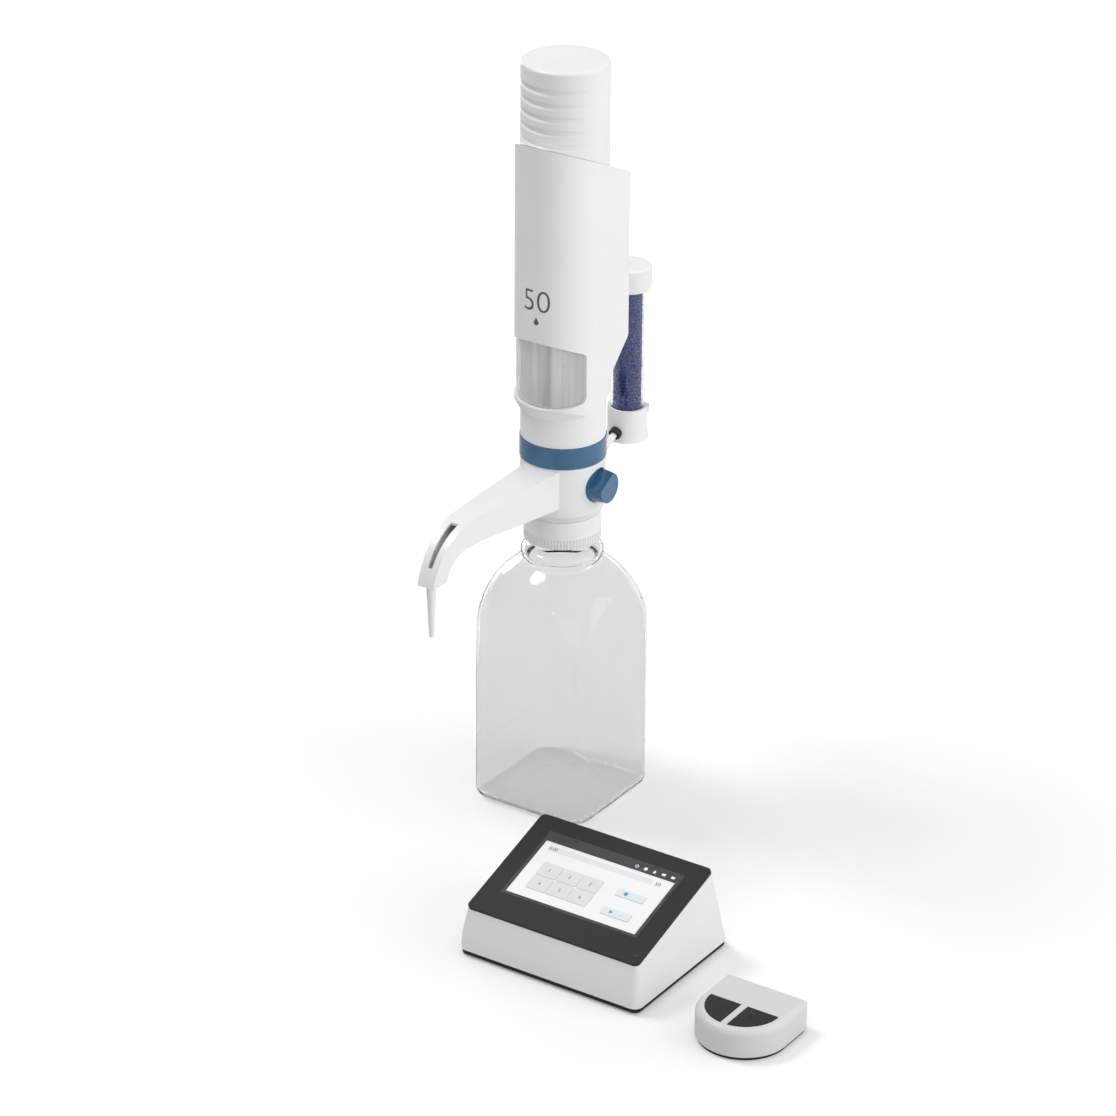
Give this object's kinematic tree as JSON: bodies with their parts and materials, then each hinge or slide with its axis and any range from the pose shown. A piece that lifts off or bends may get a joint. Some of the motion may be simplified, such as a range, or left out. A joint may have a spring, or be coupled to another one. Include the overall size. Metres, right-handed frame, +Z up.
{
  "type": "digital burette",
  "caption": "Bottle-top digital burette on a square reagent bottle, with a discharge arm, a drying tube, a touch console and a hand remote.",
  "frame": {"origin": "centre of the bottle's base, on the bench", "axes": "+Z up along the burette axis; -Y along the discharge arm; +X along the valve knob"},
  "size_m": [0.3605, 0.3382, 0.546],
  "materials": {
    "clear_glass": "clear moulded bottle",
    "cylinder_glass": "clear drawn tube",
    "clear_window": "clear polished pane",
    "white_plastic": "satin moulded white",
    "white_case": "fine satin moulded white",
    "blue_plastic": "satin moulded steel blue",
    "dark_plastic": "fine textured charcoal",
    "black_rubber": "matt black",
    "ptfe": "waxy white",
    "clear_tubing": "milky clear",
    "steel": "ground",
    "aluminium": "machined",
    "circuit_board": "solder mask",
    "cell_sleeve": "printed sleeve left plain",
    "drying_granules": "glassy beads",
    "filter_felt": "pressed felt",
    "display": "lit display under glass"
  },
  "bodies": {
    "bottle": {"bottle": "clear_glass"},
    "collar": {"neck_collar": "white_plastic"},
    "knob": {"valve_spindle": "ptfe", "valve_knob": "blue_plastic"},
    "plunger": {"piston": "ptfe", "piston_seals": "ptfe", "plunger_tube": "aluminium", "nut_carriage": "dark_plastic"},
    "screw": {"lead_screw": "steel", "screw_gear": "steel"},
    "pinion": {"motor_pinion": "steel"},
    "console": {"console_housing": "white_case", "console_bezel": "dark_plastic", "display_panel": "display", "console_board": "circuit_board", "console_foot_plate": "dark_plastic", "console_feet": "black_rubber", "power_socket": "dark_plastic"},
    "power_key": {"power_button": "dark_plastic"},
    "remote": {"remote_shell": "white_case", "remote_base": "dark_plastic", "remote_board": "circuit_board"},
    "left_key": {"left_button": "dark_plastic"},
    "right_key": {"right_button": "dark_plastic"},
    "head": {"neck_adapter": "white_plastic", "neck_gasket": "black_rubber", "valve_block": "white_plastic", "inlet_valve": "ptfe", "discharge_valve": "ptfe", "valve_balls": "steel", "filling_tube": "clear_tubing", "return_tube": "clear_tubing", "blue_ring": "blue_plastic", "lower_sleeve": "white_plastic", "chassis": "white_plastic", "cylinder_gasket": "black_rubber", "glass_cylinder": "cylinder_glass", "cylinder_clamp": "dark_plastic", "screw_bearing": "steel", "gear_plate": "aluminium", "motor_plate": "aluminium", "motor": "steel", "plate_screws": "steel", "battery_cradle": "dark_plastic", "battery_cells": "cell_sleeve", "head_board": "circuit_board", "board_screws": "steel", "head_housing": "white_plastic", "window_pane": "clear_window", "top_cap": "white_plastic", "discharge_arm": "white_plastic", "discharge_tube": "clear_tubing", "nozzle": "white_plastic", "air_pipe": "white_plastic", "air_pipe_seals": "black_rubber", "dryer_socket": "white_plastic", "dryer_glass": "cylinder_glass", "dryer_granules": "drying_granules", "dryer_filters": "filter_felt", "dryer_lid": "white_plastic"}
  },
  "joints": [
    {"name": "head_swivel", "type": "hinge", "parent": "bottle", "child": "head", "pos_m": [0, 0, 0.2135], "axis": [0, 0, 1], "continuous": true},
    {"name": "collar_turn", "type": "hinge", "parent": "bottle", "child": "collar", "pos_m": [0, 0, 0.21], "axis": [0, 0, 1], "continuous": true},
    {"name": "valve_turn", "type": "hinge", "parent": "head", "child": "knob", "pos_m": [0, 0, 0.2445], "axis": [1, 0, 0], "range_deg": [0, 90]},
    {"name": "plunger_slide", "type": "slide", "parent": "head", "child": "plunger", "axis": [0, 0, 1], "range_m": [0, 0.0812]},
    {"name": "screw_turn", "type": "hinge", "parent": "head", "child": "screw", "pos_m": [0, 0, 0.4], "axis": [0, 0, 1], "range_deg": [-3656, 0]},
    {"name": "motor_spin", "type": "hinge", "parent": "head", "child": "pinion", "pos_m": [0, 0.014, 0.47], "axis": [0, 0, 1], "range_deg": [0, 10980]},
    {"name": "console_lift", "type": "slide", "parent": "bottle", "child": "console", "axis": [0, 0, 1], "range_m": [0, 0.15]},
    {"name": "power_press", "type": "slide", "parent": "console", "child": "power_key", "axis": [0, -0.9622, -0.2723], "range_m": [0, 0.001], "stiffness_N_per_m": 300, "springref_m": -0.002},
    {"name": "remote_lift", "type": "slide", "parent": "bottle", "child": "remote", "axis": [0, 0, 1], "range_m": [0, 0.15]},
    {"name": "left_press", "type": "slide", "parent": "remote", "child": "left_key", "axis": [0, 0, -1], "range_m": [0, 0.001], "stiffness_N_per_m": 300, "springref_m": -0.002},
    {"name": "right_press", "type": "slide", "parent": "remote", "child": "right_key", "axis": [0, 0, -1], "range_m": [0, 0.001], "stiffness_N_per_m": 300, "springref_m": -0.002}
  ],
  "couplings": [
    {"joint": "screw_turn", "follows": "plunger_slide", "rad_per_m": -785.4},
    {"joint": "motor_spin", "follows": "plunger_slide", "rad_per_m": 2356.2}
  ]
}
